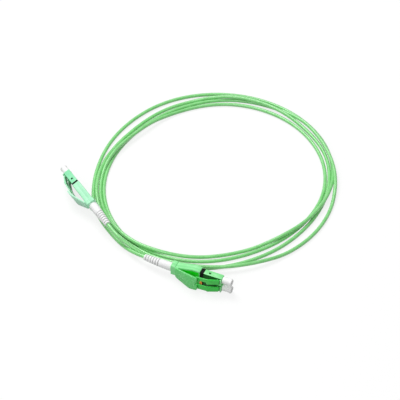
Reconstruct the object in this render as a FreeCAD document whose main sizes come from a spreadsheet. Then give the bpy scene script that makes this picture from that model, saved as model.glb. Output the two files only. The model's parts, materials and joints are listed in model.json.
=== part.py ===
import FreeCAD, Part
import math
import os
import re
import Sketcher

Vector = FreeCAD.Vector

# A duplex fiber optic patch cord: one round cable in loose turns on a table, with the same double
# plug on each end. Millimetres, +Z up. The table is z = 0, and the origin is the middle of the two
# plugs' floor plan.
#
# Each plug is drawn in its own frame: x forward out of the plug, 0 at the plug bodies' front faces,
# y across the pair of plug bodies, z towards the latches. On the table both plugs lie on their
# sides with the latches away from the loops: the first flat, the second leaning on its lever.

sizes = {
    # plug bodies
    "plug_pitch": 6.25,
    "plug_width": 4.5,
    "plug_length": 12.0,
    "plug_edge": 0.3,
    "plug_bore": 1.65,
    "nose_depth": 3.6,
    "nose_wall": 1.0,
    "lip_length": 0.55,
    "lip_height": 3.3,
    "lip_width": 3.8,
    "back_wall": 2.0,
    "slot_length": 1.4,
    "slot_width": 1.4,
    "slot_depth": 0.8,
    "slot_setback": 2.9,
    # latch arms
    "latch_pivot_setback": 1.7,
    "latch_pivot_height": 2.75,
    "latch_seat_height": 2.6,
    "latch_pin": 0.55,
    "latch_pin_width": 3.0,
    "latch_width": 3.8,
    "latch_thickness": 0.7,
    "latch_tail_width": 2.6,
    "latch_tail_shift": 0.55,
    "latch_tail_setback": 15.4,
    "latch_tail_height": 6.2,
    "shoulder_setback": 7.2,
    "shoulder_length": 1.4,
    "shoulder_width": 4.2,
    "shoulder_height": 5.75,
    "seat_wall": 0.45,
    "pivot_clearance": 0.05,
    # ferrules and what is behind them
    "ferrule_radius": 0.625,
    "ferrule_reach": 1.2,
    "ferrule_length": 6.4,
    "ferrule_tip": 0.12,
    "ferrule_clearance": 0.075,
    "flange_radius": 1.3,
    "flange_length": 1.5,
    "flange_tail": 0.55,
    "flange_tail_length": 4.4,
    "spring_radius": 0.95,
    "spring_wire": 0.14,
    "spring_turns": 4,
    "spring_flats": 8,
    "spring_end_gap": 0.05,
    "post_clearance": 0.02,
    "post_radius": 1.28,
    "post_bore": 0.85,
    "post_reach": 3.7,
    "post_block_half": 2.2,
    "post_block_edge": 0.25,
    "post_block_gap": 0.05,
    # dust caps
    "cap_reach": 6.3,
    "cap_radius": 2.15,
    "cap_flange": 2.35,
    "cap_flange_length": 1.2,
    "cap_sleeve": 1.55,
    "cap_sleeve_depth": 3.0,
    "cap_bore_clearance": 0.05,
    "cap_seat_gap": 0.1,
    "cap_tip_gap": 0.8,
    "cap_edge": 0.3,
    # housing
    "slit": 2.4,
    "housing_length": 19.5,
    "housing_front_half": 6.2,
    "housing_rear_half": 3.5,
    "housing_thickness": 5.2,
    "housing_wall": 0.9,
    "housing_front_wall": 1.2,
    "housing_edge": 0.7,
    "flare_front": 4.9,
    "flare_back": 15.5,
    "flare_round": 6.0,
    "collar_length": 3.0,
    "collar_half": 3.8,
    "collar_thickness": 6.0,
    "collar_edge": 0.9,
    # lever
    "lever_pivot_setback": 4.0,
    "lever_pivot_height": 3.25,
    "lever_pin": 0.7,
    "lever_seat_wall": 0.3,
    "lever_seat_height": 3.0,
    "lever_thickness": 1.0,
    "lever_root_thickness": 0.45,
    "lever_tip_height": 7.6,
    "lever_bend_setback": 5.4,
    "lever_bend_drop": 0.2,
    "lever_bend_round": 12.0,
    "lever_overhang": 0.2,
    "lever_tip_half": 5.1,
    "lever_wide_half": 5.8,
    "lever_wide_setback": 5.0,
    "lever_wide_round": 5.0,
    "lever_root_half": 4.0,
    "lever_pin_half": 3.4,
    "lever_notch_half": 1.0,
    "lever_notch_depth": 1.2,
    "lever_corner": 0.9,
    # crimp sleeve and fibres
    "sleeve_radius": 1.6,
    "sleeve_bore": 1.2,
    "sleeve_length": 5.0,
    "sleeve_clearance": 0.05,
    "fibre_radius": 0.45,
    "fibre_spacing": 1.04,
    "fibre_start": 2.0,
    "fibre_straight": 2.5,
    # boot
    "boot_length": 19.6,
    "boot_front_radius": 2.8,
    "boot_middle_radius": 2.6,
    "boot_rear_radius": 1.95,
    "boot_smooth_share": 0.45,
    "boot_ribs": 6,
    "boot_groove": 0.35,
    "boot_groove_share": 0.35,
    "boot_groove_slope": 0.1,
    "first_boot_turn_in": 9.0,
    "first_boot_fall": 5.0,
    "second_boot_turn_in": 3.0,
    "second_boot_fall": 8.0,
    # cable
    "cable_diameter": 2.4,
    "loop_radius": 75.4,
    "loop_stretch": 5.4,
    "loop_stretch_direction": 50.0,
    "loop_gap": 0.5,
    # where things lie on the table
    "first_plug_x": 48.95,
    "first_plug_y": -48.84,
    "first_plug_heading": -24.4,
    "second_plug_x": -49.37,
    "second_plug_y": 46.5,
    "second_plug_heading": 118.8,
    "second_plug_lean": 25.0,
    "second_plug_dip": 3.6,
    "loops_x": 44.45,
    "loops_y": 50.56,
}

doc = FreeCAD.newDocument("PatchCord")
sheet = doc.addObject("Spreadsheet::Sheet", "Sizes")
for row, (alias, amount) in enumerate(sizes.items(), 1):
    sheet.set(f"A{row}", alias.replace("_", " "))
    sheet.set(f"B{row}", str(amount))
    sheet.setAlias(f"B{row}", alias)
doc.recompute()

parts = []


# Helpers: a size is written as an expression of the sheet's names, such as "plug_width / 2".
def number(text):
    return float(sheet.evalExpression(text))


def bound(text):
    def qualify(word):
        return "Sizes." + word.group(0) if word.group(0) in sizes else word.group(0)
    return re.sub(r"[a-z]\w*", qualify, text)


def new_body(label, placement):
    body = doc.addObject("PartDesign::Body", label)
    body.Label = label
    body.Placement = placement
    parts.append(body)
    return body


def new_solid(label, shape, placement):
    feature = doc.addObject("Part::Feature", label)
    feature.Label = label
    feature.Shape = shape
    feature.Placement = placement
    parts.append(feature)
    return feature


def new_sketch(body, plane, offset):
    sketch = body.newObject("Sketcher::SketchObject", body.Label + "_sketch")
    support = [item for item in body.Origin.OriginFeatures if item.Role == plane + "_Plane"][0]
    sketch.AttachmentSupport = (support, [""])
    sketch.MapMode = "FlatFace"
    sketch.setExpression(".AttachmentOffset.Base.z", bound(offset))
    return sketch


def fix(sketch, kind, line, point, text):
    index = sketch.addConstraint(Sketcher.Constraint(kind, line, point, number(text)))
    sketch.setExpression(f"Constraints[{index}]", bound(text))


def outlines(body, plane, offset, *loops):
    """A sketch of closed outlines, each a list of corners (across, up) as expressions."""
    sketch = new_sketch(body, plane, offset)
    for corners in loops:
        first = sketch.GeometryCount
        spots = [Vector(number(across), number(up), 0) for across, up in corners]
        for start, end in zip(spots, spots[1:] + spots[:1]):
            sketch.addGeometry(Part.LineSegment(start, end), False)
        for step, (across, up) in enumerate(corners):
            following = first + (step + 1) % len(corners)
            sketch.addConstraint(Sketcher.Constraint("Coincident", first + step, 2, following, 1))
            fix(sketch, "DistanceX", first + step, 1, across)
            fix(sketch, "DistanceY", first + step, 1, up)
    return sketch


def circles(body, plane, offset, radius, *centres):
    sketch = new_sketch(body, plane, offset)
    for line, (across, up) in enumerate(centres):
        middle = Vector(number(across), number(up), 0)
        sketch.addGeometry(Part.Circle(middle, Vector(0, 0, 1), number(radius)), False)
        fix(sketch, "DistanceX", line, 3, across)
        fix(sketch, "DistanceY", line, 3, up)
        index = sketch.addConstraint(Sketcher.Constraint("Radius", line, number(radius)))
        sketch.setExpression(f"Constraints[{index}]", bound(radius))
    return sketch


def pad(body, sketch, length):
    feature = body.newObject("PartDesign::Pad", body.Label + "_pad")
    feature.Profile = sketch
    feature.setExpression("Length", bound(length))
    doc.recompute()
    return feature


def pocket(body, sketch, depth, towards_normal=False):
    """Cuts against the sketch's normal, or along it, and makes sure that something was cut."""
    before = body.Shape.Volume
    feature = body.newObject("PartDesign::Pocket", body.Label + "_pocket")
    feature.Profile = sketch
    feature.Reversed = towards_normal
    feature.setExpression("Length", bound(depth))
    doc.recompute()
    if body.Shape.Volume > before - 1e-6:
        raise RuntimeError(f"{feature.Label} cuts nothing")
    return feature


def edges_at(shape, test):
    names = []
    for index, edge in enumerate(shape.Edges, 1):
        if test(edge, edge.CenterOfMass):
            names.append(f"Edge{index}")
    return names


def runs_along(edge, axis):
    ends = edge.Vertexes
    if len(ends) < 2:
        return False
    step = ends[1].Point - ends[0].Point
    return step.Length > 0 and abs(step.dot(axis)) > 0.999 * step.Length


def fillet(body, test, radius, kind="Fillet"):
    base = body.Tip
    names = edges_at(base.Shape, test)
    if not names:
        raise RuntimeError(f"{body.Label} has no edge to round")
    feature = body.newObject("PartDesign::" + kind, body.Label + "_" + kind.lower())
    feature.Base = (base, names)
    feature.setExpression("Radius" if kind == "Fillet" else "Size", bound(radius))
    doc.recompute()
    return feature


def turned(label, placement, *corners):
    """A turned piece: its half outline (along the axis, radius) spun about x."""
    body = new_body(label, placement)
    sketch = outlines(body, "XZ", "0", list(corners))
    feature = body.newObject("PartDesign::Revolution", label + "_turn")
    feature.Profile = sketch
    feature.ReferenceAxis = (sketch, ["H_Axis"])
    feature.Angle = 360
    doc.recompute()
    return body


# Tubes: a path of tangent arcs through given points and directions, swept by a circle.
def arc_through(start, corner, end):
    """The arc from start to end whose tangents meet in corner, or a line if it is straight."""
    middle = (start + end) * 0.5
    rise = corner - middle
    if rise.Length < 1e-6:
        return Part.LineSegment(start, end)
    half_chord = (end - start).Length / 2
    slope = math.atan2(rise.Length, half_chord)
    sagitta = half_chord * math.tan(slope / 2)
    return Part.Arc(start, middle + rise.normalize() * sagitta, end)


def biarc(start, start_way, end, end_way):
    """Two arcs of equal tangent length from start to end that keep both directions."""
    gap = end - start
    ways = start_way + end_way
    a = 4 - ways.dot(ways)
    b = gap.dot(ways)
    c = gap.dot(gap)
    reach = c / (2 * b) if a < 1e-9 else (math.sqrt(b * b + a * c) - b) / a
    first_corner = start + start_way * reach
    second_corner = end - end_way * reach
    joint = (first_corner + second_corner) * 0.5
    return [arc_through(start, first_corner, joint), arc_through(joint, second_corner, end)]


def curve_path(spots, ways):
    pieces = []
    for index in range(len(spots) - 1):
        pieces += biarc(spots[index], ways[index], spots[index + 1], ways[index + 1])
    return pieces


def run_path(spots, name):
    """Straight runs joined by tangent arcs, each 0.45 of its shorter run; prints the radii."""
    pieces = []
    radii = []
    start = spots[0]
    for before, corner, after in zip(spots, spots[1:], spots[2:]):
        back = before - corner
        ahead = after - corner
        reach = 0.45 * min(back.Length, ahead.Length)
        half_turn = (math.pi - back.getAngle(ahead)) / 2
        radii.append(round(reach / math.tan(half_turn), 1))
        arc_start = corner + back.normalize() * reach
        arc_end = corner + ahead.normalize() * reach
        pieces.append(Part.LineSegment(start, arc_start))
        pieces.append(arc_through(arc_start, corner, arc_end))
        start = arc_end
    pieces.append(Part.LineSegment(start, spots[-1]))
    print(name, "arc radii", radii)
    return pieces


def tube(pieces, radius, name, flats=0):
    """A round wire or cable along the path, or one with a number of flats, which is lighter."""
    edges = [piece.toShape() for piece in pieces]
    path = Part.Wire(edges)
    heading = edges[0].tangentAt(edges[0].FirstParameter)
    rim = Part.Circle(edges[0].valueAt(edges[0].FirstParameter), heading, radius)
    area = math.pi * radius ** 2
    outline = [rim.toShape()]
    if flats:
        corners = [rim.value(2 * math.pi * index / flats) for index in range(flats)]
        outline = Part.makePolygon(corners + corners[:1]).Edges
        area = flats / 2 * radius ** 2 * math.sin(2 * math.pi / flats)
    shape = path.makePipeShell([Part.Wire(outline)], True, False)
    expected = area * path.Length
    if abs(shape.Volume / expected - 1) > 0.01:
        raise RuntimeError(f"{name} has a volume of {shape.Volume:.1f}, not {expected:.1f}")
    print(name, "length", round(path.Length, 1))
    return shape


# One plug body with its latch, ferrule, flange, spring, back post and dust cap. Each is drawn
# round the plug body's own axis.
def plug_body(label, placement):
    body = new_body(label, placement)
    half = "plug_width / 2"
    corners = [("-" + half, "-" + half), (half, "-" + half), (half, half), ("-" + half, half)]
    pad(body, outlines(body, "YZ", "-plug_length", corners), "plug_length")
    fillet(body, lambda edge, middle: runs_along(edge, Vector(1, 0, 0)), "plug_edge", "Chamfer")
    # the raised seat that carries the latch's root, and the lip before it at the nose
    seat_half = "(latch_pin + pivot_clearance + seat_wall)"
    seat = [
        ("-latch_pivot_setback - " + seat_half, half + " - plug_edge"),
        ("-latch_pivot_setback + " + seat_half, half + " - plug_edge"),
        ("-latch_pivot_setback + " + seat_half, "latch_seat_height"),
        ("-latch_pivot_setback - " + seat_half, "latch_seat_height"),
    ]
    pad(body, outlines(body, "XZ", "-latch_pin_width / 2", seat), "latch_pin_width")
    lip = [
        ("-lip_length", half + " - plug_edge"),
        ("0", half + " - plug_edge"),
        ("0", "lip_height"),
        ("-lip_length", "lip_height"),
    ]
    pad(body, outlines(body, "XZ", "-lip_width / 2", lip), "lip_width")
    pivot = ("-latch_pivot_setback", "latch_pivot_height")
    groove = circles(body, "XZ", "-latch_pin_width / 2", "latch_pin + pivot_clearance", pivot)
    pocket(body, groove, "latch_pin_width", True)
    # nose bore for the dust cap's sleeve, hole for the ferrule, spring chamber, back post's hole
    centre = ("0", "0")
    pocket(body, circles(body, "YZ", "0", "plug_bore", centre), "nose_depth")
    pocket(body, circles(body, "YZ", "-nose_depth", "ferrule_radius + ferrule_clearance", centre),
           "nose_wall")
    pocket(body, circles(body, "YZ", "-nose_depth - nose_wall", "plug_bore", centre),
           "plug_length - nose_depth - nose_wall - back_wall")
    pocket(body, circles(body, "YZ", "back_wall - plug_length", "post_radius + post_clearance", centre),
           "back_wall")
    # the small slot through each outer side into the spring chamber
    slot_rear = "slot_setback - plug_length"
    slot = [
        (slot_rear, "-slot_width / 2"),
        (slot_rear + " + slot_length", "-slot_width / 2"),
        (slot_rear + " + slot_length", "slot_width / 2"),
        (slot_rear, "slot_width / 2"),
    ]
    pocket(body, outlines(body, "XZ", "slot_depth - plug_width / 2", slot), "slot_depth")
    pocket(body, outlines(body, "XZ", "plug_width / 2 - slot_depth", slot), "slot_depth", True)


def latch_arm(label, placement, outwards):
    """The arm is wide up to its shoulders; the narrower tail behind them stands further out."""
    body = new_body(label, placement)
    pin = circles(body, "XZ", "-latch_pin_width / 2", "latch_pin",
                  ("-latch_pivot_setback", "latch_pivot_height"))
    pad(body, pin, "latch_pin_width")
    shoulder_rear = "-shoulder_setback - shoulder_length"
    under = "shoulder_height - latch_thickness"
    arm = [
        ("-latch_pivot_setback", "latch_pivot_height"),
        ("-latch_pivot_setback", "latch_pivot_height + latch_pin"),
        ("-shoulder_setback", "shoulder_height"),
        (shoulder_rear, "shoulder_height"),
        (shoulder_rear, under),
    ]
    pad(body, outlines(body, "XZ", "-latch_width / 2", arm), "latch_width")
    shoulder = [
        (shoulder_rear, under),
        ("-shoulder_setback", under),
        ("-shoulder_setback", "shoulder_height"),
        (shoulder_rear, "shoulder_height"),
    ]
    pad(body, outlines(body, "XZ", "-shoulder_width / 2", shoulder), "shoulder_width")
    tail = [
        ("-shoulder_setback", "shoulder_height"),
        (shoulder_rear, "shoulder_height"),
        ("-latch_tail_setback", "latch_tail_height"),
        ("-latch_tail_setback", "latch_tail_height - latch_thickness"),
        (shoulder_rear, under),
        ("-shoulder_setback", under),
    ]
    low = f"{-outwards} * latch_tail_shift - latch_tail_width / 2"
    pad(body, outlines(body, "XZ", low, tail), "latch_tail_width")


def ferrule_and_flange(prefix, suffix, placement):
    tip = "ferrule_reach"
    rear = "ferrule_reach - ferrule_length"
    turned(
        prefix + "_ferrule_" + suffix, placement,
        (rear, "0"),
        (tip, "0"),
        (tip, "ferrule_radius - ferrule_tip"),
        (tip + " - ferrule_tip", "ferrule_radius"),
        (rear, "ferrule_radius"),
    )
    front = "-nose_depth - nose_wall - pivot_clearance"
    back = front + " - flange_length"
    tail = front + " - flange_tail_length"
    turned(
        prefix + "_flange_" + suffix, placement,
        (front, "ferrule_radius"),
        (front, "flange_radius"),
        (back, "flange_radius"),
        (back, "flange_tail"),
        (tail, "flange_tail"),
        (tail, "0"),
        (rear, "0"),
        (rear, "ferrule_radius"),
    )


def spring(label, placement):
    """An open coil spring, a biarc for each quarter turn, between flange and back post."""
    radius = number("spring_radius")
    wire = number("spring_wire")
    turns = number("spring_turns")
    start = number("-nose_depth - nose_wall - pivot_clearance - flange_length - spring_end_gap")
    end = number("back_wall - plug_length + spring_end_gap")
    length = start - end - 2 * wire
    spots = []
    ways = []
    for quarter in range(int(4 * turns) + 1):
        angle = quarter * math.pi / 2
        along = start - wire - length * quarter / (4 * turns)
        spots.append(Vector(along, radius * math.cos(angle), radius * math.sin(angle)))
        climb = -length / (2 * math.pi * turns)
        way = Vector(climb, -radius * math.sin(angle), radius * math.cos(angle))
        ways.append(way.normalize())
    flats = int(number("spring_flats"))
    new_solid(label, tube(curve_path(spots, ways), wire, label, flats), placement)


def back_post(label, placement):
    """A hollow post from plug body to housing, with a square block round it in the slit."""
    body = new_body(label, placement)
    centre = ("0", "0")
    length = "(back_wall + post_reach)"
    pad(body, circles(body, "YZ", "-plug_length - post_reach", "post_radius", centre), length)
    half = "post_block_half"
    corners = [("-" + half, "-" + half), (half, "-" + half), (half, half), ("-" + half, half)]
    block = outlines(body, "YZ", "post_block_gap - plug_length - slit", corners)
    pad(body, block, "slit - 2 * post_block_gap")

    def is_block_side(edge, middle):
        return runs_along(edge, Vector(1, 0, 0)) and abs(abs(middle.y) - number(half)) < 1e-3

    fillet(body, is_block_side, "post_block_edge", "Chamfer")
    pocket(body, circles(body, "YZ", "back_wall - plug_length", "post_bore", centre), length)


def dust_cap(label, placement):
    bore = "ferrule_radius + cap_bore_clearance"
    neck = "cap_reach - cap_flange_length"
    turned(
        label, placement,
        ("ferrule_reach + cap_tip_gap", "0"),
        ("cap_reach", "0"),
        ("cap_reach", "cap_flange - cap_edge"),
        ("cap_reach - cap_edge", "cap_flange"),
        (neck, "cap_flange"),
        (neck, "cap_radius"),
        ("cap_seat_gap + cap_edge", "cap_radius"),
        ("cap_seat_gap", "cap_radius - cap_edge"),
        ("cap_seat_gap", "cap_sleeve"),
        ("-cap_sleeve_depth", "cap_sleeve"),
        ("-cap_sleeve_depth", bore),
        ("ferrule_reach + cap_tip_gap", bore),
    )


# The housing: two shells that meet on the middle plane z = 0. In plan both swell from the collar
# to the mouth in an S.
mouth = "-plug_length - slit"
rear = mouth + " - housing_length"
collar_front = rear + " + collar_length"


def flared_plan(front, back, trim):
    """The housing's plan from front to back, drawn in by trim all round."""
    wide = "(housing_front_half - " + trim + ")"
    narrow = "(housing_rear_half - " + trim + ")"
    flare_start = mouth + " - flare_front"
    flare_end = mouth + " - flare_back"
    side = [(front, wide), (flare_start, wide), (flare_end, narrow), (back, narrow)]
    return side + [(along, "-" + across) for along, across in reversed(side)]


def is_flare_corner(edge, middle):
    ends = (number(mouth + " - flare_front"), number(mouth + " - flare_back"))
    return runs_along(edge, Vector(0, 0, 1)) and min(abs(middle.x - end) for end in ends) < 0.1


def housing_shell(label, placement, cover):
    body = new_body(label, placement)
    low = "0" if cover else "-housing_thickness / 2"
    pad(body, outlines(body, "XY", low, flared_plan(mouth, rear, "0")), "housing_thickness / 2")
    fillet(body, is_flare_corner, "flare_round")
    top = number("housing_thickness / 2") * (1 if cover else -1)

    def is_outer_side(edge, middle):
        return abs(middle.z - top) < 1e-3 and abs(middle.y) > number("housing_rear_half") - 0.3

    fillet(body, is_outer_side, "housing_edge")
    low = "0" if cover else "-collar_thickness / 2"
    collar = [
        (rear, "-collar_half"),
        (collar_front, "-collar_half"),
        (collar_front, "collar_half"),
        (rear, "collar_half"),
    ]
    pad(body, outlines(body, "XY", low, collar), "collar_thickness / 2")
    collar_top = number("collar_thickness / 2") * (1 if cover else -1)

    def is_collar_side(edge, middle):
        return (abs(middle.z - collar_top) < 1e-3 and runs_along(edge, Vector(1, 0, 0))
                and abs(abs(middle.y) - number("collar_half")) < 1e-3)

    fillet(body, is_collar_side, "collar_edge")
    if cover:
        lever_seat(body)
    cavity = flared_plan(mouth + " - housing_front_wall", collar_front, "housing_wall")
    pocket(body, outlines(body, "XY", "0", cavity), "housing_thickness / 2 - housing_wall", cover)
    posts = [("plug_pitch / 2", "0"), ("-plug_pitch / 2", "0")]
    hole = "post_radius + post_clearance"
    pocket(body, circles(body, "YZ", mouth, hole, *posts), "housing_front_wall")
    hole = "sleeve_radius + sleeve_clearance"
    pocket(body, circles(body, "YZ", collar_front, hole, ("0", "0")), "collar_length")


def lever_seat(body):
    """Two cheeks' worth of seat on the cover, grooved for the lever's round root."""
    pivot = rear + " + lever_pivot_setback"
    seat_half = "(lever_pin + pivot_clearance + lever_seat_wall)"
    block = [
        (pivot + " - " + seat_half, "housing_thickness / 2 - housing_wall / 2"),
        (pivot + " + " + seat_half, "housing_thickness / 2 - housing_wall / 2"),
        (pivot + " + " + seat_half, "lever_seat_height"),
        (pivot + " - " + seat_half, "lever_seat_height"),
    ]
    pad(body, outlines(body, "XZ", "-lever_pin_half", block), "2 * lever_pin_half")
    groove = circles(body, "XZ", "-collar_half", "lever_pin + pivot_clearance",
                     (pivot, "lever_pivot_height"))
    pocket(body, groove, "2 * collar_half", True)


def lever(label, placement):
    """A long tongue over the cover, hinged at the collar, that flares to a pad over the latches."""
    body = new_body(label, placement)
    pivot = rear + " + lever_pivot_setback"
    tip = mouth + " + lever_overhang"
    seat_end = pivot + " + lever_pin + pivot_clearance + lever_seat_wall"
    root_top = "lever_pivot_height + lever_pin"
    bend = tip + " - lever_bend_setback"
    bend_top = "lever_tip_height - lever_bend_drop"
    side = [
        (pivot, root_top),
        (bend, bend_top),
        (tip, "lever_tip_height"),
        (tip, "lever_tip_height - lever_thickness"),
        (bend, bend_top + " - lever_thickness"),
        (seat_end + " + lever_seat_wall", root_top + " - lever_root_thickness"),
        (pivot, root_top + " - lever_root_thickness"),
    ]
    pad(body, outlines(body, "XZ", "-lever_wide_half", side), "2 * lever_wide_half")
    bend_place = number(bend)

    def is_bend(edge, middle):
        return runs_along(edge, Vector(0, 1, 0)) and abs(middle.x - bend_place) < 1e-3

    fillet(body, is_bend, "lever_bend_round")
    # the plan is cut from the plate: it widens from the root, then draws in to the notched tip
    behind = pivot + " - 2 * lever_pin"
    beyond = tip + " + lever_notch_depth"
    outside = "2 * lever_wide_half"
    wide = tip + " - lever_wide_setback"
    edge = [
        (behind, "lever_root_half"),
        (pivot, "lever_root_half"),
        (wide, "lever_wide_half"),
        (tip, "lever_tip_half"),
        (beyond, "lever_tip_half"),
        (beyond, outside),
        (behind, outside),
    ]
    other = [(along, "-(" + across + ")") for along, across in edge]
    notch = [
        (tip + " - lever_notch_depth", "-lever_notch_half"),
        (beyond, "-lever_notch_half"),
        (beyond, "lever_notch_half"),
        (tip + " - lever_notch_depth", "lever_notch_half"),
    ]
    plan = outlines(body, "XY", "2 * lever_tip_height", edge, other, notch)
    pocket(body, plan, "2 * lever_tip_height")
    wide_place = number(wide)
    tip_place = number(tip)

    def is_wide_corner(edge, middle):
        return runs_along(edge, Vector(0, 0, 1)) and abs(middle.x - wide_place) < 1e-3

    def is_tip_corner(edge, middle):
        return (runs_along(edge, Vector(0, 0, 1)) and abs(middle.x - tip_place) < 1e-3
                and abs(middle.y) > number("lever_root_half"))

    fillet(body, is_wide_corner, "lever_wide_round")
    fillet(body, is_tip_corner, "lever_corner")
    root = circles(body, "XZ", "-lever_pin_half", "lever_pin", (pivot, "lever_pivot_height"))
    pad(body, root, "2 * lever_pin_half")


def crimp_sleeve(label, placement):
    front = rear + " + sleeve_length"
    turned(
        label, placement,
        (rear, "sleeve_bore"),
        (rear, "sleeve_radius"),
        (front, "sleeve_radius"),
        (front, "sleeve_bore"),
    )


def fibre(label, placement, side):
    """One fibre from the crimp sleeve in an S to the back post of its plug body."""
    start = Vector(number(rear + " + fibre_start"), side * number("fibre_spacing / 2"), 0)
    end = Vector(number("-plug_length - post_reach"), side * number("plug_pitch / 2"), 0)
    forward = Vector(1, 0, 0)
    bend_start = Vector(number(rear + " + sleeve_length"), start.y, 0)
    bend_end = end - forward * number("fibre_straight")
    pieces = [Part.LineSegment(start, bend_start)]
    pieces += biarc(bend_start, forward, bend_end, forward)
    pieces.append(Part.LineSegment(bend_end, end))
    new_solid(label, tube(pieces, number("fibre_radius"), label), placement)


# The boot bends with its cable, so its middle line is an arc from the collar, down towards the table
# and in towards the loops, which lie on the plug's back.
def boot_line(prefix, lie):
    """The place and heading of the boot's middle line at a share of its length."""
    length = number("boot_length")
    turn = math.radians(number(prefix + "_boot_turn_in"))
    fall = math.radians(number(prefix + "_boot_fall"))
    down = lie.inverted().multVec(Vector(0, 0, -1))
    down.x = 0
    inwards = down.cross(Vector(1, 0, 0))
    if inwards.z > 0:
        inwards = -inwards
    sideways = (down * math.sin(fall) + inwards * math.sin(turn)).normalize()
    bend = math.acos(math.cos(turn) * math.cos(fall))
    radius = length / bend
    start = Vector(number(rear), 0, 0)

    def at(share):
        angle = bend * share
        place = start + Vector(-radius * math.sin(angle), 0, 0) + sideways * radius * (1 - math.cos(angle))
        heading = Vector(-math.cos(angle), 0, 0) + sideways * math.sin(angle)
        return place, heading
    return at


def boot(prefix, lie):
    """Smooth for its first part, then a row of ribs with a groove behind each, tapering all along."""
    at = boot_line(prefix, lie)
    front = number("boot_front_radius")
    middle = number("boot_middle_radius")
    back = number("boot_rear_radius")
    smooth = number("boot_smooth_share")
    ribs = int(number("boot_ribs"))
    groove = number("boot_groove_share")
    slope = number("boot_groove_slope")
    sections = [(0, front), (smooth / 2, (front + middle) / 2), (smooth, middle)]
    rib = (1 - smooth) / ribs
    for index in range(ribs):
        start = smooth + rib * index
        outer = middle + (back - middle) * (index + 0.5) / ribs
        inner = outer - number("boot_groove")
        sections += [
            (start + slope * rib, inner),
            (start + groove * rib, inner),
            (start + (groove + slope) * rib, outer),
            (start + rib, outer),
        ]
    rings = []
    for share, radius in sections:
        place, heading = at(share)
        rings.append(Part.Wire(Part.Circle(place, heading, radius).toShape()))
    return new_solid(prefix + "_boot", Part.makeLoft(rings, True, True), at_rest(lie))


def at_rest(lie):
    return FreeCAD.Placement(Vector(0, 0, 0), lie)


def plug(prefix, where, lie, up_way):
    """One whole double plug on the table. Upper and lower are as it lies there."""
    first_piece = len(parts)
    placement = at_rest(lie)
    housing_shell(prefix + "_housing_base", placement, False)
    housing_shell(prefix + "_housing_cover", placement, True)
    lever(prefix + "_lever", placement)
    crimp_sleeve(prefix + "_crimp_sleeve", placement)
    for suffix, side in (("upper", up_way), ("lower", -up_way)):
        own = placement.multiply(FreeCAD.Placement(Vector(0, side * number("plug_pitch / 2"), 0),
                                                   FreeCAD.Rotation()))
        plug_body(prefix + "_plug_" + suffix, own)
        latch_arm(prefix + "_latch_" + suffix, own, side)
        ferrule_and_flange(prefix, suffix, own)
        spring(prefix + "_spring_" + suffix, own)
        back_post(prefix + "_back_post_" + suffix, own)
        dust_cap(prefix + "_dust_cap_" + suffix, own)
        fibre(prefix + "_fibre_" + suffix, placement, side)
    lowest = min(piece.Shape.optimalBoundingBox().ZMin for piece in parts[first_piece:])
    boot(prefix, lie)
    place = FreeCAD.Placement(Vector(where[0], where[1], -lowest), FreeCAD.Rotation())
    for piece in parts[first_piece:]:
        piece.Placement = place.multiply(piece.Placement)
    print(prefix, "plug at", where[0], where[1], round(-lowest, 4))
    return place.multiply(placement)


def lying(heading, up_way, lean, dip):
    """How a plug lies: its heading, how far it leans on its lever and how far its nose dips."""
    return (FreeCAD.Rotation(Vector(0, 0, 1), heading)
            * FreeCAD.Rotation(Vector(0, 1, 0), dip)
            * FreeCAD.Rotation(Vector(1, 0, 0), up_way * (90 + lean)))


# The cable's loops, clockwise seen from above. Every turn is the same oval, made larger or smaller
# by its own amounts. Three turns lie beside each other on the table, each inside the one before,
# and the last lies on them, crosses them outwards and comes down outside.
seam = 200.0
loop_start = 190.0
loop_turns = 3.8
turn_sizes = (2.4, -0.4, -3.4, -1.9, 4.0)
turn_swell = (4.6, 2.9, 0.2, -2.3)
turn_shift = (3.2, 2.2, 2.7, 8.9)
shift_direction = (142.0, 165.0, 193.0, 331.0)
turn_pinch = (4.4, 3.3, 2.7, 6.8)
pinch_direction = (132.0, 142.0, 154.0, 117.0)
climb_from = 2.60
climb_to = 2.80
descend_from = 3.64
descend_to = 3.80
loop_step = 15.0


def eased(low, high, amount):
    share = min(1, max(0, (amount - low) / (high - low)))
    return share * share * (3 - 2 * share)


def loop_point(turned_by):
    """The cable's middle after turned_by degrees clockwise from the seam."""
    turns = turned_by / 360
    index = min(len(turn_swell) - 1, max(0, int(turns)))
    share = turns - index
    direction = seam - turned_by
    oval = number_of["loop_radius"] + number_of["loop_stretch"] * math.cos(
        2 * math.radians(direction - number_of["loop_stretch_direction"]))
    size = turn_sizes[index] + (turn_sizes[index + 1] - turn_sizes[index]) * share
    lobe = turn_shift[index] * math.cos(math.radians(direction - shift_direction[index]))
    pinch = turn_pinch[index] * math.cos(2 * math.radians(direction - pinch_direction[index]))
    radius = oval + size + math.sin(math.pi * share) * (turn_swell[index] + lobe + pinch)
    diameter = number_of["cable_diameter"]
    upper = eased(climb_from, climb_to, turns) - eased(descend_from, descend_to, turns)
    height = diameter / 2 + (diameter + number_of["loop_gap"]) * upper
    angle = math.radians(direction)
    return Vector(number_of["loops_x"] + radius * math.cos(angle),
                  number_of["loops_y"] + radius * math.sin(angle), height)


def loop_way(turned_by):
    step = 0.5
    return (loop_point(turned_by + step) - loop_point(turned_by - step)).normalize()


def least_gap(spots, skip):
    """The smallest distance between points more than skip places apart, less the diameter."""
    nearest = 1e9
    for index, spot in enumerate(spots):
        for other in spots[index + skip:]:
            nearest = min(nearest, spot.distanceToPoint(other))
    return nearest - number_of["cable_diameter"]


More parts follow.
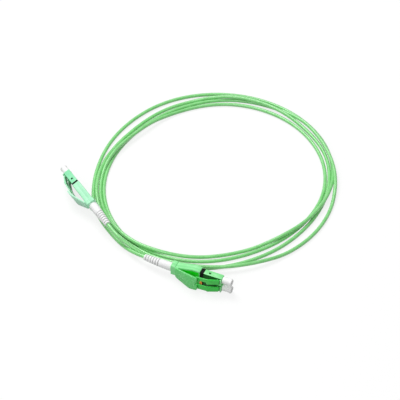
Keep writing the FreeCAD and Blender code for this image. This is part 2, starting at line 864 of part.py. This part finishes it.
number_of = {alias: number(alias) for alias in sizes}
first_lie = lying(number_of["first_plug_heading"], 1, 0, 0)
second_lie = lying(number_of["second_plug_heading"], -1, number_of["second_plug_lean"],
                   number_of["second_plug_dip"])
first = plug("first", (number_of["first_plug_x"], number_of["first_plug_y"]), first_lie, 1)
second = plug("second", (number_of["second_plug_x"], number_of["second_plug_y"]), second_lie, -1)

loop_first = seam - loop_start
loop_last = loop_first + 360 * loop_turns
count = round((loop_last - loop_first) / loop_step)
marks = [loop_first + (loop_last - loop_first) * index / count for index in range(count + 1)]
loops = tube(curve_path([loop_point(mark) for mark in marks], [loop_way(mark) for mark in marks]),
             number_of["cable_diameter"] / 2, "cable loops")
new_solid("cable_loops", loops, FreeCAD.Placement())
fine = [loop_point(loop_first + mark) for mark in range(0, int(360 * loop_turns), 2)]
print("cable loops least gap", round(least_gap(fine, 90), 2))


# The leads run from the boots to the loops, straight out of each for a few diameters.
def lead(prefix, placement, loop_mark, middle_spots, into_loops):
    label = "cable_lead_" + prefix
    place, heading = boot_line(prefix, placement.Rotation)(1)
    start = placement.multVec(place)
    way = placement.Rotation.multVec(heading)
    print(label, "starts at", [round(value, 2) for value in start], "heading",
          [round(value, 3) for value in way])
    end = loop_point(loop_mark)
    end_way = loop_way(loop_mark) * (1 if into_loops else -1)
    spots = [start, start + way * lead_straight] + middle_spots + [end - end_way * lead_straight, end]
    new_solid(label, tube(run_path(spots, label), number_of["cable_diameter"] / 2, label),
              FreeCAD.Placement())


lead_straight = 10.0
first_route = [Vector(-15.4, -10.6, 1.2), Vector(-25.0, 3.4, 1.2), Vector(-30.9, 16.9, 1.2)]
second_route = [Vector(-11.0, -12.9, 5.2), Vector(3.0, -22.3, 1.2), Vector(13.4, -27.6, 1.2)]
lead("first", first, loop_first, first_route, True)
lead("second", second, loop_last, second_route, False)

doc.recompute()
for item in doc.Objects:
    if "Invalid" in item.State or "Error" in item.State:
        raise RuntimeError(f"{item.Label} failed: {item.State}")
for piece in parts:
    if piece.Shape.isNull() or not piece.Shape.isValid():
        raise RuntimeError(f"{piece.Label} has no valid shape")
    if len(piece.Shape.Solids) != 1:
        raise RuntimeError(f"{piece.Label} has {len(piece.Shape.Solids)} solids")

os.makedirs("parts", exist_ok=True)
for piece in parts:
    piece.Shape.exportStep(f"parts/{piece.Label}.step")

rigid = [piece.Shape.optimalBoundingBox() for piece in parts if not piece.Label.startswith("cable")]
box = FreeCAD.BoundBox()
for piece_box in rigid:
    box.add(piece_box)
print("plugs", box)
print(len(parts), "parts")
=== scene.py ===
import json
import math

import bpy
from mathutils import Matrix, Vector


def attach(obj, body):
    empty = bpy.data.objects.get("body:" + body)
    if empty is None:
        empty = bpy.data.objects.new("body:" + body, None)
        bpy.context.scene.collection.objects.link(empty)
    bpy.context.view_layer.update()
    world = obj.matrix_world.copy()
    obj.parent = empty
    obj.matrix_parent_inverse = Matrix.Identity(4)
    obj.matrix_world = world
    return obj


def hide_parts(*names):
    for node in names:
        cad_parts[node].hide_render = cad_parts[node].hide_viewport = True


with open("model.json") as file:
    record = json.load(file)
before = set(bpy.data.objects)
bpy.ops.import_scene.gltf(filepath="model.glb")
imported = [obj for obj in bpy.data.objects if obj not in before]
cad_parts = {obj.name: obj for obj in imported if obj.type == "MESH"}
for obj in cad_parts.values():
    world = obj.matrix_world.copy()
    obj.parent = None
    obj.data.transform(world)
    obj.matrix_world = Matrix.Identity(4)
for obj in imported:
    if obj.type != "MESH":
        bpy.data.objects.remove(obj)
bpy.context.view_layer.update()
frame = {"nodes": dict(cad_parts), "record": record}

nodes = frame["nodes"]
record = frame["record"]
mounts = {mount["name"]: mount for mount in record["mounts"]}
bodyOf = {node: body for body, members in record["behaviour"]["bodies"].items() for node in members}
print("frame loaded:", len(nodes), "nodes")

# camera, at the photograph's angle: a long lens that looks down on the table from the front
camera = {
    "target": (0.03505, 0.03126, 0.0),
    "elevation": 44.0,
    "distance": 1.250,
    "lens": 174.3,
    "sensor": 36.0,
    "nearest": 0.05,
    "farthest": 20.0,
}


def addCamera():
    tilt = math.radians(camera["elevation"])
    target = Vector(camera["target"])
    away = Vector((0, -math.cos(tilt), math.sin(tilt)))
    bpy.ops.object.camera_add(location=target + away * camera["distance"])
    eye = bpy.context.object
    eye.name = "camera"
    eye.rotation_euler = (math.pi / 2 - tilt, 0, 0)
    eye.data.lens = camera["lens"]
    eye.data.sensor_width = camera["sensor"]
    eye.data.clip_start = camera["nearest"]
    eye.data.clip_end = camera["farthest"]
    bpy.context.scene.camera = eye


addCamera()
print("camera set")

# the cable: four loose turns, clockwise from above. turnRadii is how far each turn lies from the
# middle, every 30 degrees from the seam, read off the photograph and adjusted. A hump
# is where a turn climbs over others: foot, top, end of the top and end, in turns, and its height.
cable = {
    "diameter": 0.0024,
    "loopsMiddle": (0.04445, 0.05056),
    "seam": 200.0,
    "loopStart": 190.0,
    "turns": 3.8,
    "stationStep": 30.0,
    "turnRadii": (
        (0.0810, 0.0771, 0.0783, 0.0823, 0.0838, 0.0829, 0.0801, 0.0760, 0.0714, 0.0690, 0.0734, 0.0797),
        (0.0768, 0.0720, 0.0665, 0.0696, 0.0741, 0.0748, 0.0735, 0.0720, 0.0706, 0.0722, 0.0773, 0.0789),
        (0.0745, 0.0701, 0.0686, 0.0726, 0.0786, 0.0805, 0.0785, 0.0793, 0.0815, 0.0830, 0.0833, 0.0810),
        (0.0793, 0.0743, 0.0715, 0.0761, 0.0792, 0.0776, 0.0770, 0.0744, 0.0740, 0.0777, 0.0832),
    ),
    "humps": (
        (0.548, 0.588, 0.700, 0.750, 0.0026),
        (0.840, 0.885, 0.955, 1.000, 0.0026),
        (1.055, 1.100, 1.185, 1.245, 0.0026),
        (2.395, 2.440, 2.560, 2.610, 0.0028),
        (2.710, 2.765, 2.840, 2.890, 0.0026),
        (2.980, 3.020, 3.065, 3.105, 0.0014),
        (3.270, 3.330, 3.400, 3.460, 0.0027),
    ),
    "pointsPerTurn": 36,
}
leadFromFirst = (
    (0.00096, -0.02539, 0.00535),
    (-0.0074, -0.0200, 0.0041),
    (-0.0155, -0.0093, 0.0012),
    (-0.0251, 0.0052, 0.0012),
    (-0.0309, 0.0177, 0.0012),
    (-0.0334, 0.0270, 0.0012),
)
leadToSecond = (
    (0.0229, -0.0303, 0.0012),
    (0.0131, -0.0281, 0.0012),
    (0.0029, -0.0224, 0.0012),
    (-0.0115, -0.0137, 0.0061),
    (-0.01794, -0.00852, 0.00835),
    (-0.02319, -0.00005, 0.00912),
)


def eased(low, high, amount):
    share = min(1, max(0, (amount - low) / (high - low)))
    return share * share * (3 - 2 * share)


def turnRadius(turnedBy):  # a smooth line through the listed distances
    stations = [radius for turn in cable["turnRadii"] for radius in turn]
    stations = [stations[0], *stations, stations[-1]]
    along = turnedBy / cable["stationStep"]
    index = min(len(stations) - 4, int(along))
    before, start, end, after = stations[index:index + 4]
    share = along - index
    cubed = 3 * (start - end) + after - before
    squared = 2 * before - 5 * start + 4 * end - after
    return start + share / 2 * (end - before + share * (squared + share * cubed))


def loopPoint(turnedBy):
    radius = turnRadius(turnedBy)
    height = cable["diameter"] / 2
    for foot, top, topEnd, end, rise in cable["humps"]:
        height += rise * (eased(foot, top, turnedBy / 360) - eased(topEnd, end, turnedBy / 360))
    angle = math.radians(cable["seam"] - turnedBy)
    middle = cable["loopsMiddle"]
    return (middle[0] + radius * math.cos(angle), middle[1] + radius * math.sin(angle), height)


def cableRoute():
    first = cable["seam"] - cable["loopStart"]
    last = first + 360 * cable["turns"]
    count = round(cable["turns"] * cable["pointsPerTurn"])
    turns = [loopPoint(first + (last - first) * step / count) for step in range(count + 1)]
    return list(leadFromFirst) + turns + list(leadToSecond)


def splineCord(name, route, radius):
    curve = bpy.data.curves.new(name, "CURVE")
    curve.dimensions = "3D"
    curve.resolution_u = 4
    curve.bevel_depth = 1.0  # times each point's own radius
    curve.bevel_resolution = 4
    curve.use_fill_caps = True
    line = curve.splines.new("NURBS")
    line.points.add(len(route) - 1)
    for point, place in zip(line.points, route):
        point.co = (*place, 1)
        point.radius = radius
    line.order_u = 3
    line.use_endpoint_u = True
    cord = bpy.data.objects.new(name, curve)
    bpy.context.collection.objects.link(cord)
    return cord


def splineLength(route):
    total = 0
    for start, end in zip(route, route[1:]):
        total += (Vector(end) - Vector(start)).length
    return total


route = cableRoute()
cord = splineCord("cable", route, cable["diameter"] / 2)
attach(cord, "root")
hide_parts("cable_loops", "cable_lead_first", "cable_lead_second")
print("cable laid:", round(splineLength(route), 3), "m of route")


# materials: a socket that can be added, subtracted and multiplied like a number
class Flow:
    def __init__(self, finish, out):
        self.finish = finish
        self.out = out

    def reckon(self, operation, first, second):
        return self.finish.node("ShaderNodeMath", {"operation": operation}, {0: first, 1: second})

    def __add__(self, other):
        return self.reckon("ADD", self, other)

    def __radd__(self, other):
        return self.reckon("ADD", other, self)

    def __sub__(self, other):
        return self.reckon("SUBTRACT", self, other)

    def __mul__(self, other):
        return self.reckon("MULTIPLY", self, other)

    def over(self, low, high):
        return self.finish.node("ShaderNodeMapRange", {"clamp": True}, {0: self, 1: low, 2: high})


class Finish:
    def __init__(self, name):
        self.material = bpy.data.materials.new(name)
        self.material.use_nodes = True
        self.tree = self.material.node_tree
        self.tree.nodes.clear()
        self.shader = self.tree.nodes.new("ShaderNodeBsdfPrincipled")
        self.sheet = self.tree.nodes.new("ShaderNodeOutputMaterial")
        self.tree.links.new(self.shader.outputs[0], self.sheet.inputs["Surface"])
        places = self.tree.nodes.new("ShaderNodeTexCoord")
        self.place = Flow(self, places.outputs["Object"])

    def node(self, kind, settings=None, sockets=None, out=0):
        made = self.tree.nodes.new(kind)
        for key, value in (settings or {}).items():
            setattr(made, key, value)
        for key, value in (sockets or {}).items():
            self.feed(made.inputs[key], value)
        return Flow(self, made.outputs[out])

    def feed(self, socket, value):
        if isinstance(value, Flow):
            self.tree.links.new(value.out, socket)
        elif isinstance(value, (tuple, list)) and len(value) == 3 and socket.type == "RGBA":
            socket.default_value = (*value, 1)
        else:
            socket.default_value = value

    def noise(self, scale, detail=2.0, rough=0.5):
        return self.node("ShaderNodeTexNoise", {"noise_dimensions": "3D"},
                         {"Vector": self.place, "Scale": scale, "Detail": detail, "Roughness": rough})

    def blend(self, share, first, second):
        return self.node("ShaderNodeMix", {"data_type": "RGBA"}, {0: share, 6: first, 7: second}, out=2)

    def bump(self, height, distance, strength=1.0):
        made = self.node("ShaderNodeBump", None,
                         {"Strength": strength, "Distance": distance, "Height": height})
        self.feed(self.shader.inputs["Normal"], made)

    def set(self, **values):
        for key, value in values.items():
            self.feed(self.shader.inputs[key.replace("_", " ")], value)


def linear(red, green, blue):
    def one(level):
        share = level / 255
        return share / 12.92 if share <= 0.04045 else ((share + 0.055) / 1.055) ** 2.4
    return (one(red), one(green), one(blue))


mouldings = {
    "housingGreen": (linear(134, 230, 148), linear(144, 235, 158)),
    # painted shade: a saturated green for the sunk face in the lever's shadow
    "shadePanelGreen": (linear(4, 232, 12), linear(7, 240, 18)),
    "plugGreen": (linear(132, 230, 144), linear(142, 235, 154)),
    "latchGreen": (linear(48, 200, 66), linear(60, 210, 78)),
    "housingMint": (linear(170, 240, 196), linear(178, 244, 203)),
    # painted shade, as for the green panel above
    "shadePanelMint": (linear(164, 238, 190), linear(172, 242, 197)),
    "plugMint": (linear(142, 232, 178), linear(150, 236, 185)),
    "latchMint": (linear(158, 236, 186), linear(166, 240, 193)),
    "jacketGreen": (linear(128, 216, 126), linear(140, 224, 138)),
    "bootWhite": (linear(244, 244, 245), linear(250, 250, 250)),
    # painted shade on the floors of the boots' grooves
    "grooveShadeGrey": (linear(162, 164, 162), linear(172, 174, 172)),
    "capWhite": (linear(250, 250, 250), linear(254, 254, 254)),
    "fibreWhite": (linear(225, 225, 215), linear(235, 235, 228)),
    "ceramicWhite": (linear(236, 236, 230), linear(242, 242, 238)),
    # painted shade: the back posts are black to stand for the deep shadow in the slit
    "slitShadeBlack": (linear(6, 7, 6), linear(12, 13, 12)),
    # painted shade on the plug bodies' faces behind the latches
    "latchShadeGreen": (linear(8, 96, 24), linear(12, 108, 30)),
}


# all mouldings: a slow cloud between two near colours, and a fine grain
plastic = {
    "cloudScale": 260,
    "cloudShare": (0.35, 0.65),
    "roughnessSpread": 0.12,
    "grainStrength": 0.6,
    "coatRoughness": 0.3,
}


def moulded(name, grain, grainDepth, roughness, specular=0.5, coat=0.0):
    finish = Finish(name)
    first, second = mouldings[name]
    cloud = finish.noise(plastic["cloudScale"], 3)
    fine = finish.noise(grain, 2)
    finish.set(Base_Color=finish.blend(cloud.over(*plastic["cloudShare"]), first, second))
    finish.set(Roughness=roughness + (fine - 0.5) * plastic["roughnessSpread"])
    finish.shader.inputs["Specular IOR Level"].default_value = specular
    finish.shader.inputs["Coat Weight"].default_value = coat
    finish.shader.inputs["Coat Roughness"].default_value = plastic["coatRoughness"]
    finish.bump(fine, grainDepth, plastic["grainStrength"])
    return finish.material


# the lever's moulding is spark eroded: small pits all over; the darker pits are painted shade and the pale
# specks a painted highlight where the pits catch the light
pitted = {
    "leverGreen": (linear(106, 222, 122), linear(180, 250, 188), linear(72, 188, 88)),
    "leverMint": (linear(186, 247, 212), linear(220, 253, 232), linear(152, 228, 184)),
    "pitScale": 3400,
    "pitShare": (0.30, 0.48),
    "pitDepth": 0.00010,
    "pitStrength": 0.7,
    "speckScale": 1530,
    "speckShare": (0.55, 0.72),
    "roughness": 0.5,
    "roughnessSpread": 0.3,
}


def leverMoulding(name):
    finish = Finish(name)
    plain, speckGlint, pitShade = pitted[name]
    grain = finish.noise(pitted["pitScale"], 3, 0.6)
    specks = finish.noise(pitted["speckScale"], 2)
    ground = finish.blend(grain.over(*pitted["pitShare"]), pitShade, plain)
    finish.set(Base_Color=finish.blend(specks.over(*pitted["speckShare"]), ground, speckGlint))
    finish.set(Roughness=pitted["roughness"] + (grain - 0.5) * pitted["roughnessSpread"])
    finish.bump(grain, pitted["pitDepth"], pitted["pitStrength"])
    return finish.material


turned = {
    "grainScale": 2400,
    "grainShare": (0.3, 0.7),
    "darker": 0.85,
    "roughnessSpread": 0.15,
    "grainDepth": 0.00002,
    "grainStrength": 0.5,
}


def metal(name, colour, roughness):
    finish = Finish(name)
    grain = finish.noise(turned["grainScale"], 2)
    darker = tuple(level * turned["darker"] for level in colour)
    finish.set(Base_Color=finish.blend(grain.over(*turned["grainShare"]), colour, darker))
    finish.set(Metallic=1.0, Roughness=roughness + (grain - 0.5) * turned["roughnessSpread"])
    finish.bump(grain, turned["grainDepth"], turned["grainStrength"])
    return finish.material


finishes = {
    "first_housing": moulded("housingGreen", 5200, 0.00004, 0.42),
    "first_panel": moulded("shadePanelGreen", 5200, 0.00003, 0.30),
    "first_lever": leverMoulding("leverGreen"),
    "first_plug": moulded("plugGreen", 5200, 0.00003, 0.34),
    "first_latch": moulded("latchGreen", 5200, 0.00003, 0.34),
    "second_housing": moulded("housingMint", 5200, 0.00004, 0.42),
    "second_panel": moulded("shadePanelMint", 5200, 0.00003, 0.30),
    "second_lever": leverMoulding("leverMint"),
    "second_plug": moulded("plugMint", 5200, 0.00003, 0.34),
    "second_latch": moulded("latchMint", 5200, 0.00003, 0.34),
    "jacket": moulded("jacketGreen", 3000, 0.00002, 0.34, coat=1.0),
    "boot": moulded("bootWhite", 3600, 0.00005, 0.55),
    "groove": moulded("grooveShadeGrey", 3600, 0.00005, 0.7, 0.2),
    "cap": moulded("capWhite", 3600, 0.00003, 0.38),
    "fibre": moulded("fibreWhite", 3600, 0.00002, 0.45),
    "ceramic": moulded("ceramicWhite", 6000, 0.00001, 0.18),
    "post": moulded("slitShadeBlack", 5200, 0.00003, 0.6, 0.15),
    "gap": moulded("latchShadeGreen", 5200, 0.00003, 0.5, 0.2),
    "steel": metal("turnedSteel", linear(170, 170, 172), 0.30),
    "brass": metal("brass", linear(226, 150, 62), 0.28),
}
finishOf = (
    ("back_post", "post"), ("crimp", "steel"), ("flange", "steel"), ("spring", "steel"),
    ("ferrule", "ceramic"), ("dust_cap", "cap"), ("boot", "boot"), ("fibre", "fibre"),
    ("first_housing", "first_housing"), ("first_lever", "first_lever"),
    ("first_latch", "first_latch"), ("first_plug", "first_plug"),
    ("second_housing", "second_housing"), ("second_lever", "second_lever"),
    ("second_latch", "second_latch"), ("second_plug", "second_plug"),
)


def finishFor(name):
    return finishes[[word for part, word in finishOf if part in name][0]]


cord.data.materials.append(finishes["jacket"])
for name, node in nodes.items():
    if name.startswith("cable"):
        continue
    node.data.materials.clear()
    node.data.materials.append(finishFor(name))
print("finishes assigned")


# each plug's own frame: x out of its ports, z towards its lever
def plugFrame(plug):
    upper = mounts[plug + "_adapter_port_upper"]
    lower = mounts[plug + "_adapter_port_lower"]
    forward = Vector(upper["axis"])
    leverWay = -Vector(mounts[plug + "_housing_side"]["axis"])
    across = leverWay.cross(forward)
    middle = (Vector(upper["pos_m"]) + Vector(lower["pos_m"])) / 2
    return Matrix.Translation(middle) @ Matrix((forward, across, leverWay)).transposed().to_4x4()


plugFrames = {plug: plugFrame(plug) for plug in ("first", "second")}


# how near a face or a corner has to be to its plane to be picked, and how square on; and how the CAD's
# triangles are joined again
picking = {
    "near": 0.0001,
    "squareOn": 0.99,
    "weld": 0.000002,
    "flatAngle": 0.5,
    "smoothAngle": 30.0,
}


def selectOnly(piece):
    bpy.ops.object.select_all(action="DESELECT")
    piece.select_set(True)
    bpy.context.view_layer.objects.active = piece


def pickFaces(piece, test):  # leaves the piece in edit mode with those faces selected
    selectOnly(piece)
    bpy.ops.object.mode_set(mode="EDIT")
    bpy.ops.mesh.select_mode(type="FACE")
    bpy.ops.mesh.select_all(action="DESELECT")
    bpy.ops.object.mode_set(mode="OBJECT")
    for face in piece.data.polygons:
        face.select = test(face.center, face.normal)
    bpy.ops.object.mode_set(mode="EDIT")


def liftNode(plug, part):  # a merged copy of a solid, in its plug's frame
    node = plug + "_" + part
    piece = bpy.data.objects.new(node + "_moulding", nodes[node].data.copy())
    bpy.context.collection.objects.link(piece)
    piece.data.transform(plugFrames[plug].inverted())
    selectOnly(piece)
    bpy.ops.mesh.customdata_custom_splitnormals_clear()
    bpy.ops.object.mode_set(mode="EDIT")
    bpy.ops.mesh.select_all(action="SELECT")
    bpy.ops.mesh.remove_doubles(threshold=picking["weld"])
    bpy.ops.mesh.dissolve_limited(angle_limit=math.radians(picking["flatAngle"]))
    bpy.ops.object.mode_set(mode="OBJECT")
    return piece


def roundEdges(piece, width, segments=2, angle=35.0):
    selectOnly(piece)
    made = piece.modifiers.new("edges", "BEVEL")
    made.width = width
    made.segments = segments
    made.limit_method = "ANGLE"
    made.angle_limit = math.radians(angle)
    bpy.ops.object.modifier_apply(modifier="edges")
    bpy.ops.object.shade_smooth_by_angle(angle=math.radians(picking["smoothAngle"]))


def setDown(piece, plug, part):
    node = plug + "_" + part
    piece.data.transform(plugFrames[plug])
    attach(piece, bodyOf[node])
    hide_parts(node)


# housing shells: the broad faces are sunk a little inside a rim
shell = {
    "edge": 0.00016,
    "broadFace": 0.0026,
    "rim": 0.0007,
    "sink": 0.00018,
}


def housingShell(plug, part, side):
    piece = liftNode(plug, part)

    def isBroad(place, normal):
        squareOn = normal.z * side > picking["squareOn"]
        return squareOn and abs(place.z * side - shell["broadFace"]) < picking["near"]

    pickFaces(piece, isBroad)
    bpy.ops.mesh.inset(thickness=shell["rim"], depth=-shell["sink"])
    bpy.ops.object.mode_set(mode="OBJECT")
    # the sunk broad face under the lever gets a second, saturated green: painted shade standing for the
    # lever's shadow
    if side > 0:
        sunk = shell["broadFace"] - shell["sink"]
        piece.data.materials.append(finishes[plug + "_panel"])
        for face in piece.data.polygons:
            if face.normal.z > picking["squareOn"] and abs(face.center.z - sunk) < picking["near"]:
                face.material_index = 1
    roundEdges(piece, shell["edge"])
    setDown(piece, plug, part)


# small mouldings: the same shapes with their edges broken
edges = {
    "lever": 0.00018,
    "plug": 0.00012,
    "latch": 0.00010,
    "post": 0.00008,
}


def smallMoulding(plug, part, edge):
    piece = liftNode(plug, part)
    roundEdges(piece, edge)
    setDown(piece, plug, part)


# plug bodies: the faces behind the latches get little light, and are painted dark green as painted shade
body = {
    "leverFace": 0.0018,
    "front": -0.0005,
    "facing": 0.6,
}


def plugBody(plug, row):
    piece = liftNode(plug, "plug_" + row)
    piece.data.materials.append(finishes["gap"])
    for face in piece.data.polygons:
        behindLatch = face.center.z > body["leverFace"] and face.center.x < body["front"]
        if behindLatch and face.normal.z > body["facing"]:
            face.material_index = 1
    roundEdges(piece, edges["plug"])
    setDown(piece, plug, "plug_" + row)


# latches: the lower one's tail is wider on the side of the slit
tail = {
    "start": -0.0080,
    "slitEdge": -0.002375,
    "growth": 0.0011,
}


def latchArm(plug, row):
    piece = liftNode(plug, "latch_" + row)
    for point in piece.data.vertices:
        if point.co.x < tail["start"] and abs(point.co.y - tail["slitEdge"]) < picking["near"]:
            point.co.y += tail["growth"]
    roundEdges(piece, edges["latch"])
    setDown(piece, plug, "latch_" + row)


# boots: the floors of the grooves between the ribs are painted grey as painted shade; each boot's middle line
# bends sideways
boot = {
    "front": -0.0339,
    "length": 0.0195,
    "bend": {"first": (-0.00085, -0.00153), "second": (0.00144, 0.00009)},
    "ribs": 6,
    "ribsFrom": 0.45,
    "radius": 0.0026,
    "rearRadius": 0.00195,
    "floorDepth": 0.00027,
    "floorFacing": 0.5,
    "edge": 0.00005,
}


def grooveFloor(plug, face):
    share = (boot["front"] - face.center.x) / boot["length"]
    along = (share - boot["ribsFrom"]) / (1 - boot["ribsFrom"])
    if along < 0 or abs(face.normal.x) > boot["floorFacing"]:
        return False
    taper = (int(along * boot["ribs"]) + 0.5) / boot["ribs"]
    outer = boot["radius"] + (boot["rearRadius"] - boot["radius"]) * taper
    across, up = boot["bend"][plug]
    away = math.hypot(face.center.y - across * share * share, face.center.z - up * share * share)
    return outer - away > boot["floorDepth"]


def ribbedBoot(plug):
    piece = liftNode(plug, "boot")
    piece.data.materials.append(finishes["groove"])
    for face in piece.data.polygons:
        if grooveFloor(plug, face):
            face.material_index = 1
    roundEdges(piece, boot["edge"])
    setDown(piece, plug, "boot")


# dust caps: hollow ended, with a rolled rim
cap = {
    "edge": 0.00014,
    "end": 0.0063,
    "rim": 0.00055,
    "hollow": 0.0016,
    "hollowSlope": 0.0001,
}


def dustCap(plug, part):
    piece = liftNode(plug, part)

    def isEnd(place, normal):
        return normal.x > picking["squareOn"] and abs(place.x - cap["end"]) < picking["near"]

    pickFaces(piece, isEnd)
    bpy.ops.mesh.inset(thickness=cap["rim"])
    bpy.ops.mesh.inset(thickness=cap["hollowSlope"], depth=-cap["hollow"])
    bpy.ops.object.mode_set(mode="OBJECT")
    roundEdges(piece, cap["edge"])
    setDown(piece, plug, part)


# brass clip on the lower back post, seen in the slit beside the lever
clip = {
    "place": (-0.01375, -0.00270, 0.00225),
    "size": (0.0017, 0.0030, 0.0007),
    "edge": 0.0002,
    "edgeSteps": 3,
    "rim": 0.00030,
    "dimple": 0.00012,
    "dimpleSlope": 0.00010,
}


def brassClip(plug):
    bpy.ops.object.select_all(action="DESELECT")
    bpy.ops.mesh.primitive_cube_add(size=1, location=clip["place"], scale=clip["size"])
    piece = bpy.context.object
    piece.name = plug + "_brass_clip"
    bpy.ops.object.transform_apply(location=True, rotation=True, scale=True)
    roundEdges(piece, clip["edge"], clip["edgeSteps"])

    def isTop(place, normal):
        return normal.z > picking["squareOn"]

    pickFaces(piece, isTop)
    bpy.ops.mesh.inset(thickness=clip["rim"])
    bpy.ops.mesh.inset(thickness=clip["dimpleSlope"], depth=-clip["dimple"])
    bpy.ops.object.mode_set(mode="OBJECT")
    piece.data.materials.append(finishes["brass"])
    piece.data.transform(plugFrames[plug])
    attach(piece, bodyOf[plug + "_back_post_lower"])


for plug in plugFrames:
    housingShell(plug, "housing_cover", 1)
    housingShell(plug, "housing_base", -1)
    smallMoulding(plug, "lever", edges["lever"])
    brassClip(plug)
    ribbedBoot(plug)
    for row in ("upper", "lower"):
        plugBody(plug, row)
        latchArm(plug, row)
        smallMoulding(plug, "back_post_" + row, edges["post"])
        dustCap(plug, "dust_cap_" + row)
    print(plug, "plug dressed")

# table and light: one large softbox high behind the cable, a weak one in front, and a dim sky
studio = {
    "tableSize": 12.0,
    "tableColour": linear(254, 254, 254),
    "bounceColour": linear(165, 168, 165),
    "tableGlow": 0.80,
    "skyLevel": 0.36,
    "softboxPower": 13.5,
    "softboxSize": 0.75,
    "softboxPlace": (-0.35, 0.62, 1.25),
    "fillPower": 6.0,
    "fillPlace": (-0.35, -0.95, 0.95),
}


def addTable():
    bpy.ops.mesh.primitive_plane_add(size=studio["tableSize"], location=(0, 0, 0))
    table = bpy.context.object
    table.name = "table"
    finish = Finish("paleTable")
    tree = finish.tree
    tree.nodes.remove(finish.shader)
    ray = tree.nodes.new("ShaderNodeLightPath")
    seen = Flow(finish, ray.outputs["Is Camera Ray"])
    mirrored = Flow(finish, ray.outputs["Is Glossy Ray"])
    passed = Flow(finish, ray.outputs["Is Transmission Ray"])
    plain = (seen + mirrored + passed).over(0, 1)
    cloth = finish.node("ShaderNodeBsdfDiffuse", None,
                        {"Color": finish.blend(plain, studio["bounceColour"], studio["tableColour"])})
    glow = finish.node("ShaderNodeEmission", None, {"Color": (1, 1, 1), "Strength": 1.0})
    surface = finish.node("ShaderNodeMixShader", None, {0: plain * studio["tableGlow"], 1: cloth, 2: glow})
    tree.links.new(surface.out, finish.sheet.inputs["Surface"])
    table.data.materials.append(finish.material)


def addSoftbox(name, place, power, size, aim):
    bpy.ops.object.light_add(type="AREA", location=place)
    box = bpy.context.object
    box.name = name
    box.data.shape = "SQUARE"
    box.data.size = size
    box.data.energy = power
    look = Vector(aim) - Vector(place)
    box.rotation_euler = look.to_track_quat("-Z", "Y").to_euler()


def addSky():
    world = bpy.data.worlds.new("sky")
    bpy.context.scene.world = world
    world.use_nodes = True
    tree = world.node_tree
    back = tree.nodes["Background"]
    ray = tree.nodes.new("ShaderNodeLightPath")
    level = tree.nodes.new("ShaderNodeMapRange")
    tree.links.new(ray.outputs["Is Camera Ray"], level.inputs[0])
    level.inputs[3].default_value = studio["skyLevel"]
    level.inputs[4].default_value = 1.0
    back.inputs["Color"].default_value = (1, 1, 1, 1)
    tree.links.new(level.outputs[0], back.inputs["Strength"])


addTable()
addSoftbox("softbox", studio["softboxPlace"], studio["softboxPower"], studio["softboxSize"], camera["target"])
addSoftbox("fill", studio["fillPlace"], studio["fillPower"], studio["softboxSize"], camera["target"])
addSky()
bpy.context.scene.view_settings.view_transform = "Standard"
print("stage lit")
